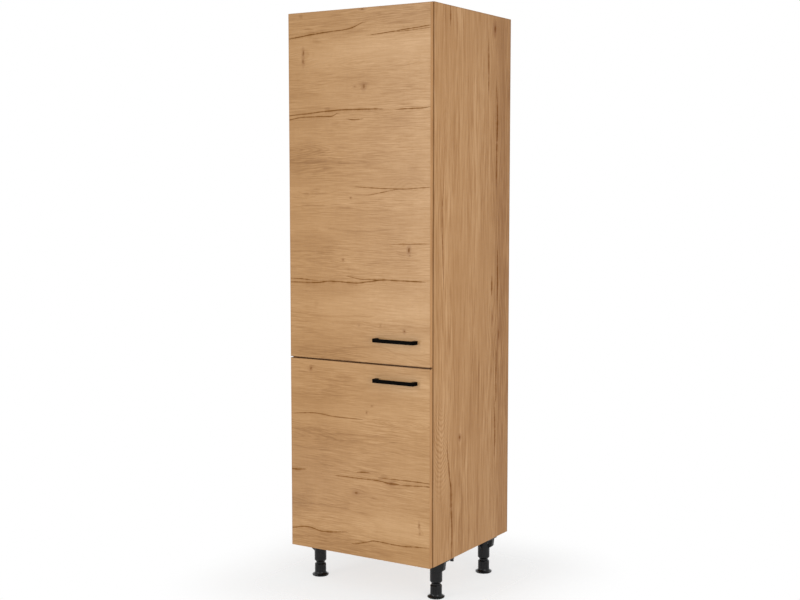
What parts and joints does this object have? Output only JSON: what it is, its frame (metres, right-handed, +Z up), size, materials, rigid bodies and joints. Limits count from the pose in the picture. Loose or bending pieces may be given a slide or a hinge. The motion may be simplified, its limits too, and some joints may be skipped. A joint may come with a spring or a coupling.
{
  "type": "tall fridge housing unit",
  "caption": "Tall kitchen unit in wild-oak decor that houses a built-in fridge above a cupboard, with hung doors, black bow handles and adjustable legs.",
  "frame": {"origin": "on the floor, under the middle of the outer box, handles included", "axes": "+Z up, +X to the unit's right as seen from the front, -Y out of the doors"},
  "size_m": [0.6, 0.612, 2.09],
  "materials": {
    "door_oak": "melamine board printed with wild oak, grain across",
    "side_oak": "melamine board printed with wild oak, grain upright",
    "board_oak": "melamine board printed with wild oak",
    "edge_oak": "edge strip in oak colour",
    "hardboard": "painted hardboard",
    "beech": "fluted beech",
    "handle_black": "satin black powder coat",
    "leg_black": "moulded black plastic",
    "hinge_nickel": "nickel-plated pressed steel",
    "zinc": "zinc die-cast",
    "screw_steel": "zinc-plated steel",
    "clear_bumper": "soft translucent dot"
  },
  "bodies": {
    "carcass": {"left_side_panel": "side_oak", "right_side_panel": "side_oak", "bottom_panel": "board_oak", "niche_floor": "board_oak", "top_panel": "board_oak", "lower_rear_rail": "board_oak", "upper_rear_rail": "board_oak", "adjustable_shelf": "board_oak", "back_panel": "hardboard", "cam_locks": "zinc", "cam_bolts": "screw_steel", "dowels": "beech", "shelf_pins": "screw_steel", "door_bumpers": "clear_bumper", "leg_screws": "screw_steel", "upper_hinge_arms": "hinge_nickel", "upper_hinge_arm_pins": "screw_steel", "upper_hinge_plates": "hinge_nickel", "upper_hinge_plate_screws": "screw_steel", "lower_hinge_arms": "hinge_nickel", "lower_hinge_arm_pins": "screw_steel", "lower_hinge_plates": "hinge_nickel", "lower_hinge_plate_screws": "screw_steel", "leg_bracket_front_left": "leg_black", "leg_bracket_front_right": "leg_black", "leg_bracket_back_left": "leg_black", "leg_bracket_back_right": "leg_black"},
    "upper_outer_links": {"upper_hinge_outer_links": "hinge_nickel"},
    "upper_inner_links": {"upper_hinge_inner_links": "hinge_nickel"},
    "upper_door_leaf": {"upper_door": "door_oak", "upper_door_edge_band": "edge_oak", "upper_handle": "handle_black", "upper_handle_screws": "screw_steel", "upper_hinge_cups": "hinge_nickel", "upper_hinge_cup_pins": "screw_steel", "upper_hinge_cup_screws": "screw_steel"},
    "lower_outer_links": {"lower_hinge_outer_links": "hinge_nickel"},
    "lower_inner_links": {"lower_hinge_inner_links": "hinge_nickel"},
    "lower_door_leaf": {"lower_door": "door_oak", "lower_door_edge_band": "edge_oak", "lower_handle": "handle_black", "lower_handle_screws": "screw_steel", "lower_hinge_cups": "hinge_nickel", "lower_hinge_cup_pins": "screw_steel", "lower_hinge_cup_screws": "screw_steel"},
    "foot_front_left": {"leg_foot_front_left": "leg_black"},
    "foot_front_right": {"leg_foot_front_right": "leg_black"},
    "foot_back_left": {"leg_foot_back_left": "leg_black"},
    "foot_back_right": {"leg_foot_back_right": "leg_black"}
  },
  "joints": [
    {"name": "upper_outer_links_turn", "type": "hinge", "parent": "carcass", "child": "upper_outer_links", "pos_m": [-0.2623, -0.2468, 1.467], "axis": [0, 0, 1], "range_deg": [0, 29.4]},
    {"name": "upper_door_swing", "type": "hinge", "parent": "upper_outer_links", "child": "upper_door_leaf", "pos_m": [-0.2879, -0.2637, 1.467], "axis": [0, 0, -1], "range_deg": [0, 124.38]},
    {"name": "upper_inner_links_turn", "type": "hinge", "parent": "carcass", "child": "upper_inner_links", "pos_m": [-0.271, -0.2679, 1.467], "axis": [0, 0, 1], "range_deg": [0, 35.58]},
    {"name": "lower_outer_links_turn", "type": "hinge", "parent": "carcass", "child": "lower_outer_links", "pos_m": [-0.2623, -0.2468, 0.4915], "axis": [0, 0, 1], "range_deg": [0, 29.4]},
    {"name": "lower_door_swing", "type": "hinge", "parent": "lower_outer_links", "child": "lower_door_leaf", "pos_m": [-0.2879, -0.2637, 0.4915], "axis": [0, 0, -1], "range_deg": [0, 124.38]},
    {"name": "lower_inner_links_turn", "type": "hinge", "parent": "carcass", "child": "lower_inner_links", "pos_m": [-0.271, -0.2679, 0.4915], "axis": [0, 0, 1], "range_deg": [0, 35.58]},
    {"name": "foot_front_left_turn", "type": "hinge", "parent": "carcass", "child": "foot_front_left", "pos_m": [-0.254, -0.159, 0.08], "axis": [0, 0, -1], "range_deg": [0, 1800]},
    {"name": "foot_front_right_turn", "type": "hinge", "parent": "carcass", "child": "foot_front_right", "pos_m": [0.254, -0.159, 0.08], "axis": [0, 0, -1], "range_deg": [0, 1800]},
    {"name": "foot_back_left_turn", "type": "hinge", "parent": "carcass", "child": "foot_back_left", "pos_m": [-0.254, 0.201, 0.08], "axis": [0, 0, -1], "range_deg": [0, 1800]},
    {"name": "foot_back_right_turn", "type": "hinge", "parent": "carcass", "child": "foot_back_right", "pos_m": [0.254, 0.201, 0.08], "axis": [0, 0, -1], "range_deg": [0, 1800]}
  ],
  "couplings": [
    {"joint": "upper_outer_links_turn", "follows": "upper_door_swing", "ratio": 0.23623},
    {"joint": "upper_inner_links_turn", "follows": "upper_door_swing", "ratio": 0.28588},
    {"joint": "lower_outer_links_turn", "follows": "lower_door_swing", "ratio": 0.23623},
    {"joint": "lower_inner_links_turn", "follows": "lower_door_swing", "ratio": 0.28588}
  ]
}
